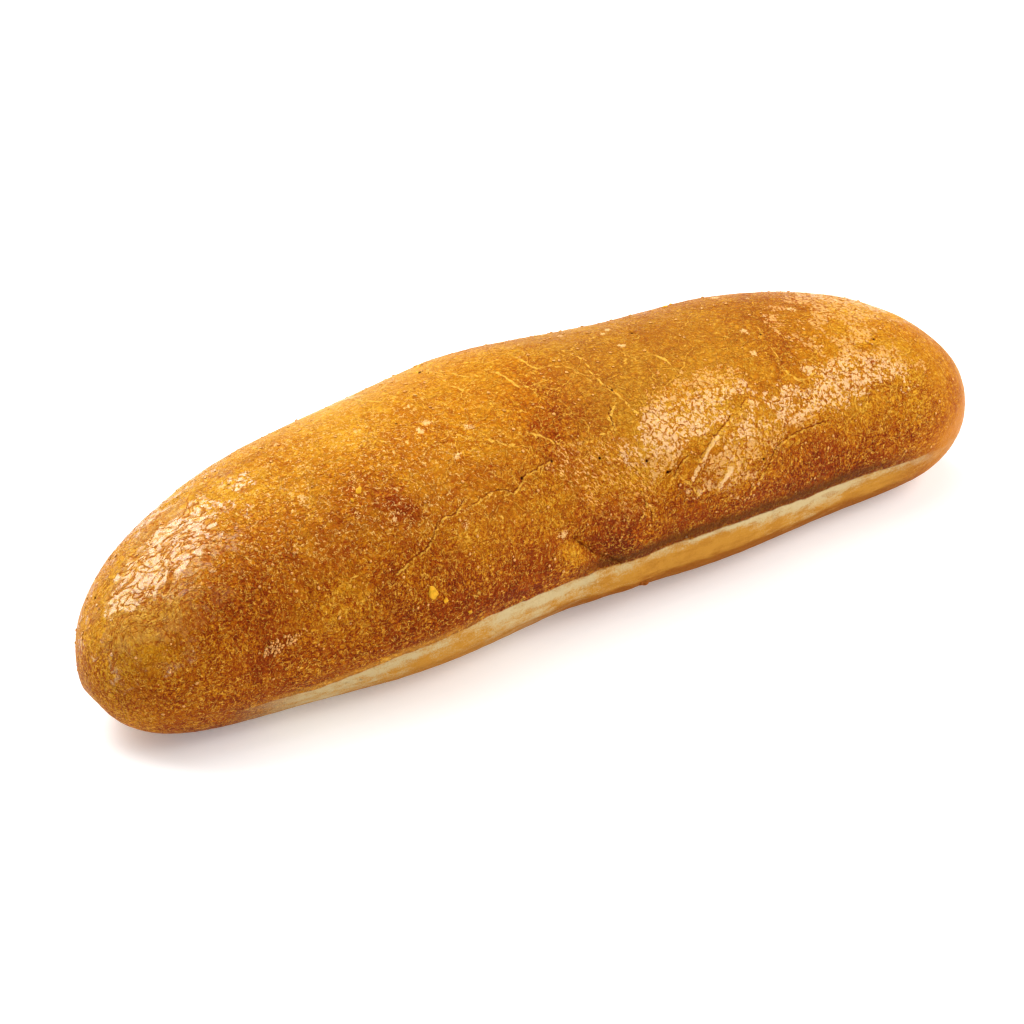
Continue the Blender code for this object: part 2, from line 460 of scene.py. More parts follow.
def surfaceLines(bvh, shapes, shift=(0, 0)):  # lines on the surface, a turned copy of each on the back
    random = np.random.default_rng(crackSize["seed"])
    lines = []
    for spots in shapes.values():
        line = []
        for start, end in zip(spots[:-1], spots[1:]):
            count = max(1, round(math.dist(start, end) / crackSize["step"]))
            for i in range(count + (end is spots[-1])):
                spot = Vector(start).lerp(Vector(end), i / count)
                spot += Vector(random.normal(0, crackSize["jitter"], 2)) * (0 < i < count)
                point = throughView(bvh, spot + Vector(shift))
                if point is not None:
                    line.append(point)
        lines.append(line)
        lines.append([behind(bvh, point) for point in line])
    return lines


def surfaceSpots(bvh, spots):  # the same for single points
    points = [throughView(bvh, spot) for spot in spots]
    points = [point for point in points if point is not None]
    return points + [behind(bvh, point) for point in points]


def nearestTree(targets):
    tree = KDTree(len(targets))
    for i, target in enumerate(targets):
        tree.insert(target, i)
    tree.balance()
    return tree


def distanceTo(points, targets):  # from each point to the nearest target, in mm
    tree = nearestTree(targets)
    return np.array([tree.find(point)[2] for point in points]) / mm


def closeSteps(lines, step=0.2 * mm):  # the same lines as closely spaced points
    points = []
    for line in lines:
        for start, end in zip(line[:-1], line[1:]):
            count = max(1, round((end - start).length / step))
            points += [start.lerp(end, i / count) for i in range(count)]
        points.append(line[-1])
    return points


# The crust's mesh
crustMesh = {
    "smoothLevels": 2,
    "sliceWidth": 2 * mm,  # of the slices that tell the near flank from the far one
    "crackRounds": ((1.2 * mm, 1), (0.5 * mm, 1)),  # reach from a crack, and cuts
}


def smoothCopy():  # the CAD loaf as quads, rounded between its facets
    bm = bmesh.new()
    bm.from_mesh(cadLoaf.data)
    bmesh.ops.remove_doubles(bm, verts=bm.verts, dist=0.01 * mm)
    bmesh.ops.join_triangles(bm, faces=bm.faces, angle_face_threshold=0.7, angle_shape_threshold=1.2)
    mesh = bpy.data.meshes.new("crust")
    bm.to_mesh(mesh)
    bm.free()
    crust = bpy.data.objects.new("crust", mesh)
    bpy.context.scene.collection.objects.link(crust)
    rounding = crust.modifiers.new("rounding", "SUBSURF")
    rounding.levels = rounding.render_levels = crustMesh["smoothLevels"]
    bakeModifiers(crust)
    print("loaf rounded:", len(crust.data.polygons), "faces")
    return crust


def bakeModifiers(piece):  # swaps the piece's mesh for what its modifiers make of it
    bpy.context.view_layer.update()
    result = bpy.data.meshes.new_from_object(piece.evaluated_get(bpy.context.evaluated_depsgraph_get()))
    old = piece.data
    piece.modifiers.clear()
    piece.data = result
    bpy.data.meshes.remove(old)
    result.name = piece.name


def refineNear(crust, targets):  # cuts the faces near cracks and pits smaller
    tree = nearestTree(targets)
    bm = bmesh.new()
    bm.from_mesh(crust.data)
    for reach, cuts in crustMesh["crackRounds"]:
        near = {vert for vert in bm.verts if tree.find(vert.co)[2] < reach}
        edges = [edge for edge in bm.edges if edge.verts[0] in near and edge.verts[1] in near]
        bmesh.ops.subdivide_edges(bm, edges=edges, cuts=cuts, use_grid_fill=True)
    bmesh.ops.triangulate(bm, faces=[face for face in bm.faces if len(face.verts) > 4])
    bm.to_mesh(crust.data)
    bm.free()
    print("cracks refined:", len(crust.data.polygons), "faces")


def storeMasks(crust, bvh):  # what the relief and the finish need to know at each point
    mesh = crust.data

    def read(layer, label):
        values = np.empty(len(layer) * 3, np.float32)
        layer.foreach_get(label, values)
        return values.reshape(-1, 3).astype(float)

    def nearLines(shapes, *shift):
        return distanceTo(points, closeSteps(surfaceLines(bvh, shapes, *shift)))

    points, normals = read(mesh.vertices, "co"), read(mesh.vertex_normals, "vector")
    x, y, z = points.T
    slices = np.round(x / crustMesh["sliceWidth"]).astype(int)
    slices -= slices.min()
    middle = np.array([(y[slices == i].max() + y[slices == i].min()) / 2 if (slices == i).any() else 0
                       for i in range(slices.max() + 1)])
    front = y < middle[slices]

    def glossAt(px, py):
        return np.max([np.minimum(insideOutline(px, py, outline), most)
                       for most, outline in glossPlates.values()], axis=0)

    def toastAt(px, py):
        return sum(amount * np.exp(-((px - x0) ** 2 + (py - y0) ** 2) / radius ** 2)
                   for (x0, y0), radius, amount in toasted.values())

    pixelsPerMm = viewpoint["focalPixels"] / viewpoint["distance"] * mm
    masks = {
        "overLine": (z - lineHeight(x, front)) / mm,
        "along": x / loafSize["halfLength"],
        "gloss": bothSides(points, normals, glossAt) / pixelsPerMm,
        "runs": bothSides(points, normals, lambda px, py: insideOutline(px, py, runs)) / pixelsPerMm,
        "toast": blendedSides(points, normals, toastAt),
        "crackNear": nearLines(cracks),
        "lipNear": nearLines(cracks, crackSize["lip"]),
        "seamNear": nearLines(seams),
        "ridgeNear": nearLines(ridges),
        "stripeNear": nearLines(stripes),
        "foldNear": nearLines(folds),
        "pitNear": distanceTo(points, surfaceSpots(bvh, pits)),
        "paleNear": distanceTo(points, surfaceSpots(bvh, paleSpots)),
        "bubbleNear": distanceTo(points, surfaceSpots(bvh, bubbles)),
    }
    for name, values in masks.items():
        layer = mesh.attributes.new(name, "FLOAT", "POINT")
        layer.data.foreach_set("value", values.astype(np.float32))
    print("masks stored")


# The crust's relief, in Geometry Nodes
relief = {
    "Wave Height": 0.18 * mm,
    "Wave Size": 11 * mm,
    "Crinkle Height": 0.11 * mm,
    "Crinkle Size": 2.2 * mm,
    "Gloss Crinkle": 0.22 * mm,
    "Crack Depth": 0.25 * mm,
    "Crack Width": 0.10 * mm,
    "Lip Height": 0.12 * mm,
    "Seam Height": 0.10 * mm,
    "Ridge Height": 0.4 * mm,
    "Ridge Width": 0.65 * mm,
    "Fold Depth": 0.5 * mm,
    "Fold Width": 0.32 * mm,
    "Pit Depth": 0.4 * mm,
    "Pit Width": 0.28 * mm,
}


def startNodes(name, inputs, whole=()):  # a modifier's tree, with these inputs and a material as another
    tree = bpy.data.node_groups.new(name, "GeometryNodeTree")
    tree.is_modifier = True
    for way in ("INPUT", "OUTPUT"):
        tree.interface.new_socket("Geometry", in_out=way, socket_type="NodeSocketGeometry")
    for label in inputs:
        kind = "NodeSocketInt" if label in whole else "NodeSocketFloat"
        tree.interface.new_socket(label, in_out="INPUT", socket_type=kind)
    tree.interface.new_socket("Finish", in_out="INPUT", socket_type="NodeSocketMaterial")
    given = tree.nodes.new("NodeGroupInput")
    return Graph(tree), {slot.name: Field(tree, slot) for slot in given.outputs}


def endNodes(graph, geometry, finish):  # gives the geometry its material and puts it out
    real = graph.node("GeometryNodeRealizeInstances", {}, {"Geometry": geometry})
    dressed = graph.node("GeometryNodeSetMaterial", {}, {"Geometry": real, "Material": finish})
    result = graph.tree.nodes.new("NodeGroupOutput")
    graph.tree.links.new(dressed.socket, result.inputs[0])
    return graph.tree


def reliefTree():
    graph, value = startNodes("crustRelief", relief)

    def stored(name):  # a mask of the mesh, in metres
        return graph.stored(name) * mm

    position = graph.node("GeometryNodeInputPosition")
    normal = graph.node("GeometryNodeInputNormal")
    wave = graph.noise(position, 1.0 / value["Wave Size"], 1.0) - 0.5
    crinkle = graph.noise(position, 1.0 / value["Crinkle Size"], 3.0, 0.55, 0.8) - 0.5
    height = wave * value["Wave Height"] * 2.0 + crinkle * value["Crinkle Height"] * 2.0
    groove = stored("crackNear").bell(0.0, value["Crack Width"]) * value["Crack Depth"]
    lip = stored("lipNear").bell(0.0, value["Crack Width"] * 2.0) * value["Lip Height"]
    seam = stored("seamNear").bell(0.0, value["Crack Width"] * 2.5) * value["Seam Height"]
    fine = graph.vector("MULTIPLY", position, (0.5, 1.1, 1.1))  # wrinkles run along the loaf
    fine = abs(graph.noise(fine, 1.0 / value["Crinkle Size"], 1.0, 0.5, 0.8) - 0.5) * 2.0 - 0.15
    glossy = stored("gloss").ramp(-1.0 * mm, 1.0 * mm)
    ridge = stored("ridgeNear").bell(0.0, value["Ridge Width"]) * value["Ridge Height"]
    fold = stored("foldNear").bell(0.0, value["Fold Width"]) * value["Fold Depth"]
    pit = stored("pitNear").bell(0.0, value["Pit Width"]) * value["Pit Depth"]
    leftPart = (stored("along") / mm).ramp(-0.3, -0.55, 0.3, 1.0)
    height = height + fine * glossy * leftPart * value["Gloss Crinkle"] * 2.0
    height = height + lip + seam + ridge - groove - fold - pit
    above = graph.node("ShaderNodeSeparateXYZ", {}, {"Vector": position}, out="Z").ramp(0.3 * mm, 2.5 * mm)
    offset = graph.vector("SCALE", normal, scale=height * above)
    moved = graph.node("GeometryNodeSetPosition", {}, {"Geometry": value["Geometry"], "Offset": offset})
    return endNodes(graph, moved, value["Finish"])


def useNodes(piece, tree, chosen):  # runs a tree on the piece with the chosen inputs
    modifier = piece.modifiers.new(tree.name, "NODES")
    modifier.node_group = tree
    for item in tree.interface.items_tree:
        if item.name in chosen:
            modifier[item.identifier] = chosen[item.name]
    bakeModifiers(piece)


def addRelief(crust, material):
    useNodes(crust, reliefTree(), dict(relief, Finish=material))
    crust.data.shade_smooth()
    print("relief made:", sum(len(face.vertices) - 2 for face in crust.data.polygons), "triangles")


# The crust's finish
crustLook = {
    "colours": {
        "gold": srgb(214, 160, 46),
        "amber": srgb(188, 120, 17),
        "brown": srgb(150, 66, 4),
        "dark": srgb(108, 38, 2),
        "straw": srgb(238, 184, 78),
        "skin": srgb(246, 200, 138),
        # cream of the painted highlight on the glossy plates
        "glaze": srgb(240, 186, 116),
        "run": srgb(240, 178, 98),
        # painted highlight on the tops of the beads
        "bead": srgb(236, 168, 86),
        "tipGold": srgb(196, 126, 40),
        "pale": srgb(200, 178, 134),
        "paleGold": srgb(194, 140, 58),
        "baseEdge": srgb(156, 96, 28),
        "dull": srgb(160, 118, 44),
        # colour of the painted shade in the undercut above the band
        "groove": srgb(106, 60, 16),
        "crack": srgb(128, 50, 12),
        "pit": srgb(64, 26, 8),
    },
    "tones": ((0.0, "gold"), (0.35, "amber"), (0.70, "brown"), (1.0, "dark")),  # as it gets browner
    "grain": {  # sizes in mm
        "blotch": 15, "patch": 4.5, "mottle": 1.35, "fibre": 0.55, "dust": 0.28, "leather": 0.95,
        "wisp": 1.1, "wispGap": 0.8, "fibreTurn": 11, "calm": 8, "vein": 10, "craze": 2.2, "crazeGap": 0.9,
        "glaze": 0.75, "warp": 6, "warpReach": 4.5, "crinkle": 1.7, "creaseGap": 1.6, "swirl": 9,
        "swirlReach": 9, "run": 0.75, "bandEdge": 3.5, "streak": 1.6,
    },
    "browner": {  # how much browner each makes the crust
        "all": 0.20, "low": 0.46, "blotch": 0.17, "patch": 0.11, "mottle": 0.15, "fibre": 0.20,
        # the negative amounts for the crazed and the foil-like plates make them paler, a painted highlight
        "dust": 0.28, "wispShade": 0.2, "leather": -0.28, "craze": 0.10, "crazed": -0.3, "foil": -0.25,
        # the upper parts of the grains paler, a painted highlight
        "raised": -0.12,
    },
    "paint": {  # what each marking is painted with and how strongly, the lowest first
        "strokes": ("straw", 0.35),
        "wisps": ("straw", 0.8),
        "dullCrown": ("dull", 0.35),
        # painted sheen along the upper back of the crown
        "crest": ("straw", 0.3),
        "upperWisps": ("skin", 0.7),
        # painted highlight on the bead tops and painted shade at their feet
        "beads": ("bead", 0.9),
        "beadFeet": ("dark", 0.9),
        "rightTip": ("tipGold", 0.75),
        "veins": ("straw", 0.6),
        "veinShade": ("dark", 0.25),
        # painted highlight in the cells of the glossy plates
        "cells": ("glaze", 0.62),
        "craze": ("brown", 0.3),
        # faint painted highlight over the creased gloss at the left tip
        "foil": ("glaze", 0.08),
        # painted highlight on the glaze stripes beside the furrows
        "stripes": ("skin", 0.75),
        # painted highlight strokes on the flank, and painted shade beside them
        "runs": ("run", 0.85),
        "runShade": ("brown", 0.4),
        # painted shade in the creases between the wrinkles at the left tip
        "foilCreases": ("brown", 0.7),
        "seamRims": ("straw", 1.0),
        "seams": ("dark", 0.8),
        # painted highlight on the raised edge beside each crack
        "lips": ("straw", 0.8),
        "cracks": ("crack", 0.9),
        # painted shade down the fold's crease
        "folds": ("dark", 0.7),
        # painted highlight on the ridge tops
        "ridges": ("straw", 0.4),
        "flaky": ("skin", 0.75),
        "pits": ("pit", 0.95),
        "goldRim": ("straw", 0.35),
        # painted shade in the undercut above the band
        "groove": ("groove", 0.85),
    },
    # the pale band, by places along the loaf, -1 to 1 from tip to tip, and their widths
    "bandLowered": ((-0.60, 0.12, 2.2), (-0.16, 0.10, 2.2), (0.50, 0.10, 0.6)),  # and how far, in mm
    "bandGolden": ((-0.33, 0.08, 0.5), (-0.15, 0.10, -0.3), (0.10, 0.10, 0.5), (0.48, 0.14, -0.3),
                   (0.72, 0.10, 0.5)),  # and how much more golden
    "coat": {"foil": 0.75, "cells": 0.34, "stripes": 0.3, "runs": 0.14, "beads": 0.6},
    "gloss": {"Coat Roughness": 0.16, "Coat IOR": 1.8, "Specular IOR Level": 0.08},
    "roughness": 0.45,
    "bandRoughness": 0.3,  # more
    "bump": {  # heights in mm
        "leather": 0.13, "fibre": -0.03, "mottle": 0.05, "crinkle": 0.14, "craze": -0.05, "wisp": 0.05,
        "wispShade": -0.03,
    },
}
maskNames = ("along", "overLine", "crackNear", "lipNear", "seamNear", "foldNear", "ridgeNear", "pitNear",
             "stripeNear", "paleNear", "gloss", "runs", "toast", "raised", "foot")


def skinPatterns(graph):  # the places and patterns that the finish is made of
    grain = crustLook["grain"]
    place = graph.node("ShaderNodeTexCoord", out="Object")

    def grainy(name, *settings, stretch=None, out=0):
        spot = graph.vector("MULTIPLY", place, stretch) if stretch else place
        return graph.noise(spot, 1 / (grain[name] * mm), *settings, out=out)

    def warped(name, reach, *settings):
        shift = graph.vector("SCALE", grainy(name, *settings, out=1), scale=grain[reach] * mm)
        return graph.vector("ADD", place, shift)

    skin = SimpleNamespace(graph=graph, grainy=grainy)
    skin.side, skin.deep, skin.height = (
        graph.node("ShaderNodeSeparateXYZ", {}, {"Vector": place}, out=axis) for axis in "XYZ")
    skin.mask = mask = {name: graph.attribute(name) for name in maskNames}
    skin.blotch = grainy("blotch", 3.0, 0.55).ramp(0.33, 0.67)
    skin.patch = grainy("patch", 3.0, 0.6, 0.5).ramp(0.35, 0.65)
    skin.mottle = grainy("mottle", 2.0, 0.6, 0.4).ramp(0.34, 0.66)
    skin.dust = grainy("dust", 1.0).ramp(0.34, 0.66)
    # fibres run along the loaf in some places and round it in others
    lengthways = grainy("fibre", 2.0, stretch=(0.5, 1.2, 1.2))
    roundabout = grainy("fibre", 2.0, stretch=(1.4, 0.7, 0.7))
    turn = grainy("fibreTurn", 1.0).ramp(0.46, 0.54)
    skin.fibre = (lengthways * turn + roundabout * (1.0 - turn)).ramp(0.36, 0.64)
    skin.calm = grainy("calm", 2.0).ramp(0.46, 0.60, 1.0, 0.5)  # smoother skin has less grain
    # leathery grain: small swellings parted by creases
    skin.leather = abs(grainy("leather", 2.0, 0.5, 0.7) - 0.5).ramp(0.0, 0.10)
    # wisps: thin short curls of pale skin, with painted shade along one side
    swirl = grainy("wisp", 2.0, 0.5, 0.8) - 0.5
    broken = grainy("wispGap", 1.0).ramp(0.44, 0.58)
    skin.wisp = abs(swirl).ramp(0.04, 0.0) * broken
    skin.wispShade = swirl.bell(-0.045, 0.02) * broken
    # glossy plates: skin painted paler as a highlight, crazed by fine lines
    skin.warped = warped("warp", "warpReach", 4.0, 0.6)
    crazing = graph.cellEdges(skin.warped, 1 / (grain["craze"] * mm))
    skin.craze = crazing.ramp(0.10, 0.02) * grainy("crazeGap", 1.0).ramp(0.36, 0.56)
    glossEdge = mask["gloss"] + (skin.patch - 0.5) * 4.0 + (skin.mottle - 0.5) * 3.0
    skin.glossy = (glossEdge + (skin.fibre - 0.5) * 1.0).ramp(-0.1, 0.2)
    skin.crazed = skin.glossy * mask["along"].ramp(-0.55, -0.3)
    glazed = (grainy("glaze", 2.0, 0.65, 0.4) + (skin.patch - 0.5) * 0.1).ramp(0.44, 0.54)
    skin.cells = skin.crazed * (1.0 - skin.craze) * glazed
    # at the left tip the gloss is creased like foil instead, painted paler with painted shade in the creases
    skin.foil = skin.glossy * (1.0 - skin.crazed)
    swirled = graph.vector("MULTIPLY", warped("swirl", "swirlReach", 1.0), (0.5, 1.1, 0.6))
    skin.crinkle = abs(graph.noise(swirled, 1 / (grain["crinkle"] * mm), 2.0, 0.5, 0.6) - 0.5)
    # painted highlight strokes down the flank, with painted shade beside them
    slanted = graph.node("ShaderNodeCombineXYZ", {}, {
        "X": skin.side * 0.35 - skin.height * 0.45, "Y": skin.side * 1.3 + skin.height * 1.0,
        "Z": skin.deep * 0.9})
    skin.drawn = graph.noise(slanted, 1 / (grain["run"] * mm), 2.0, 0.6, 0.4)
    skin.runArea = mask["runs"].ramp(-0.5, 2.5)
    skin.runs = skin.runArea * skin.drawn.ramp(0.55, 0.61) * skin.patch.ramp(0.8, 0.4, 0.4, 1.0)
    # the right tip is smoother and paler, most of all low down and behind
    nearLine = mask["overLine"].ramp(12.0, 0.0)
    skin.behind = skin.deep.ramp(3 * mm, 18 * mm)
    skin.tip = (mask["along"] + nearLine * 0.12 + skin.behind * 0.08).ramp(0.93, 1.0)
    skin.smooth = (mask["along"] + nearLine * 0.08).ramp(0.80, 0.95)
    return skin


def brownness(skin):  # low on the flanks most, on the crown and the tips least
    mask, share = skin.mask, crustLook["browner"]
    low = skin.height.ramp(43 * mm, 17 * mm)
    brown = low * share["low"] * abs(mask["along"]).ramp(1.0, 0.7, 0.55, 1.0) + share["all"] + mask["toast"]
    brown = brown + (skin.blotch - 0.5) * share["blotch"] + (skin.patch - 0.5) * share["patch"]
    brown = brown * (1.0 + skin.crazed * share["crazed"] + skin.foil * share["foil"])
    brown = brown + skin.craze * skin.glossy * share["craze"]
    speckle = (skin.fibre - 0.5) * share["fibre"] + (skin.dust - 0.5) * share["dust"]
    speckle = speckle + skin.wispShade * share["wispShade"] + (skin.leather - 0.6) * share["leather"]
    speckle = speckle * skin.calm * (1.0 - skin.smooth * 0.75) * skin.height.ramp(22 * mm, 42 * mm, 1.0, 0.6)
    return brown + (skin.mottle - 0.5) * share["mottle"] + speckle + mask["raised"] * share["raised"]


def markings(skin, edge, leftFade):  # where each marking shows
    mask, height, along = skin.mask, skin.height, skin.mask["along"]
    fibre, mottle, patch, dust = skin.fibre, skin.mottle, skin.patch, skin.dust
    veins = skin.graph.cellEdges(skin.warped, 1 / (crustLook["grain"]["vein"] * mm))
    # veins where the skin split and baked on
    vein = veins.ramp(0.012, 0.0) * mottle.ramp(0.9, 0.3) * along.ramp(-0.6, -0.2) * (1.0 - skin.tip)
    upperLeft = height.ramp(32 * mm, 43 * mm) * along.ramp(0.0, -0.4)
    return {
        # pale fibre strokes, with the painted highlight of the grain tops
        "strokes": (fibre.ramp(0.12, 0.0) * skin.calm + mask["raised"] * 0.7).clamp() * mottle.ramp(1.0, 0.3),
        "wisps": skin.wisp * (1.0 - skin.smooth * 0.9),
        "dullCrown": height.ramp(37 * mm, 46 * mm) * along.ramp(-0.05, 0.15) * (1.0 - skin.crazed),
        # painted sheen along the upper back of the crown
        "crest": skin.behind * along.ramp(0.1, -0.2) * height.ramp(28 * mm, 38 * mm),
        "upperWisps": skin.wisp * upperLeft,
        "beads": mask["raised"].ramp(0.5, 0.9),
        "beadFeet": mask["foot"],
        "rightTip": skin.tip,
        "veins": vein * height.ramp(20 * mm, 30 * mm),
        "veinShade": veins.bell(0.026, 0.012) * (1.0 - skin.tip),
        "cells": skin.cells,
        "craze": skin.crazed * skin.craze,
        "foil": skin.foil,
        "stripes": mask["stripeNear"].ramp(0.5, 0.3),
        "runs": skin.runs,
        "runShade": skin.runArea * skin.drawn.bell(0.46, 0.03),
        "foilCreases": skin.foil * skin.crinkle.ramp(0.045, 0.0),
        "seamRims": mask["seamNear"].ramp(0.32, 0.13) * patch.ramp(0.0, 0.5, 0.45, 0.9),
        "seams": mask["seamNear"].ramp(0.13, 0.04) * mottle.ramp(0.3, 0.7),
        # painted highlight on the raised edge beside each crack
        "lips": mask["lipNear"].ramp(0.30, 0.10) * mottle.ramp(0.2, 0.8),
        "cracks": mask["crackNear"].ramp(0.20, 0.07) * mottle.ramp(1.2, 0.4),
        # painted shade down the fold's crease
        "folds": mask["foldNear"].ramp(0.28, 0.05),
        # painted highlight on the ridge tops
        "ridges": mask["ridgeNear"].ramp(0.8, 0.2) * fibre.ramp(0.9, 0.3),
        "flaky": (mask["paleNear"] + (mottle - 0.5) * 0.9 + (dust - 0.5) * 0.6).ramp(0.8, 0.4),
        "pits": mask["pitNear"].ramp(0.45, 0.2),
        "goldRim": edge.bell(0.8, 0.8) * leftFade * along.ramp(-0.2, -0.4),
        # painted shade in the undercut just above the band
        "groove": edge.bell(1.4, 1.5) * along.ramp(-0.10, 0.06) * along.ramp(0.85, 0.6),
    }


def bandEdge(skin):  # height over the band's wavy upper edge, in mm
    along = skin.mask["along"]
    edge = skin.mask["overLine"] + (skin.grainy("bandEdge", 2.0) - 0.5) * 1.2
    edge = edge + along.ramp(-0.15, -0.45) * 0.9 + along.ramp(0.2, 0.0) * 0.8
    for middle, width, drop in crustLook["bandLowered"]:
        edge = edge + along.bell(middle, width) * drop
    return edge


def bandTone(skin, edge):  # pale dough, more golden in places and browned at the base
    along, patch, dust, colour = skin.mask["along"], skin.patch, skin.dust, crustLook["colours"]
    streak = skin.grainy("streak", 3.0, 0.6, stretch=(0.3, 1.0, 1.0)).ramp(0.35, 0.65)
    golden = edge.ramp(-1.0, -4.5) * along.ramp(-0.65, -0.35, 0.3, 0.8) + (streak - 0.5) * 0.5
    golden = golden + (patch - 0.5) * 0.4 + edge.ramp(-1.0, -3.0) * along.ramp(0.1, 0.2) * 0.3
    golden = golden + edge.ramp(-0.3, -1.5) * along.bell(0.29, 0.12) * 0.8 + (dust - 0.5) * 0.5
    for middle, width, amount in crustLook["bandGolden"]:
        golden = golden + along.bell(middle, width) * amount
    tone = skin.graph.mix(golden.clamp(), colour["pale"], colour["paleGold"])
    base = edge.ramp(-5.0, -8.0) + (streak - 0.5) * 0.5 + (dust - 0.5) * 0.2
    base = base * along.ramp(-0.25, 0.1, 0.4, 1.1)
    return skin.graph.mix(base.clamp(), tone, colour["baseEdge"])


def crustFinish():
    material = bpy.data.materials.new("bakedCrust")
    material.use_nodes = True
    tree = material.node_tree
    graph = Graph(tree)
    shader = tree.nodes["Principled BSDF"]
    look, skin = crustLook, skinPatterns(graph)
    mask = skin.mask
    edge = bandEdge(skin)
    leftFade = mask["along"].ramp(-0.80, -0.60)  # the band runs out towards the left tip
    band = edge.ramp(0.25, -0.2) * leftFade * mask["along"].ramp(0.90, 0.70, 0.1, 1.0)
    stops = [(place, look["colours"][name]) for place, name in look["tones"]]
    tone = graph.node("ShaderNodeValToRGB", {"stops": stops}, {"Fac": brownness(skin)})
    shown = markings(skin, edge, leftFade)
    for marking, (colour, strength) in look["paint"].items():
        tone = graph.mix(shown[marking] * strength, tone, look["colours"][colour])
    tone = graph.mix(band, tone, bandTone(skin, edge))
    plug(tree, shader.inputs["Base Color"], tone)
    shine = look["coat"]
    creased = skin.crinkle.ramp(0.02, 0.09) * skin.grainy("creaseGap", 2.0).ramp(0.36, 0.52, 0.25, 1.0)
    coat = skin.foil * creased * shine["foil"] + skin.cells * shine["cells"]
    coat = coat + shown["stripes"] * shine["stripes"] + skin.runs * shine["runs"]
    coat = coat + mask["raised"].ramp(0.7, 1.0) * shine["beads"]
    sunk = mask["crackNear"].ramp(0.15, 0.4) * mask["pitNear"].ramp(0.2, 0.5)
    sunk = sunk * mask["foldNear"].ramp(0.1, 0.9)  # no gloss down in the cracks
    plug(tree, shader.inputs["Coat Weight"], coat * (1.0 - band) * sunk)
    plug(tree, shader.inputs["Roughness"], look["roughness"] + band * look["bandRoughness"])
    for label, value in look["gloss"].items():
        shader.inputs[label].default_value = value
    bump = look["bump"]
    height = skin.leather * bump["leather"] + skin.fibre * bump["fibre"] + skin.mottle * bump["mottle"]
    height = height + skin.crinkle.ramp(0.0, 0.16) * bump["crinkle"] + shown["craze"] * bump["craze"]
    height = height + skin.wisp * bump["wisp"] + skin.wispShade * bump["wispShade"]
    height = height * (1.0 - band * 0.6) * (1.0 - skin.smooth * 0.6)
    bumped = graph.node("ShaderNodeBump", {}, {"Height": height, "Distance": 1.0 * mm, "Strength": 1.0})
    plug(tree, shader.inputs["Normal"], bumped)
    print("crust's finish made")
    return material


# Blisters, skin ridges and flakes on the crust
grainKinds = {  # numbers per square metre, cluster widths in mm, sizes in metres, turns in radians
    "blisters": {
        "Density": 0.05 / mm ** 2, "Clumping": 0.3, "Cluster Density": 7.0 / mm ** 2,
        "Cluster Width": 1.1, "Smallest": 0.16 * mm, "Largest": 0.36 * mm, "Stretch": 1.2,
        "Rise": 0.8, "Turn": 3.0, "Paleness": 1.0, "Detail": 2, "Seed": 11,
    },
    "skinRidges": {
        "Density": 0.20 / mm ** 2, "Clumping": 1.0, "Cluster Density": 0.0,
        "Cluster Width": 1.1, "Smallest": 0.05 * mm, "Largest": 0.12 * mm, "Stretch": 4.0,
        "Rise": 0.8, "Turn": 1.0, "Paleness": 0.5, "Detail": 1, "Seed": 5,
    },
}


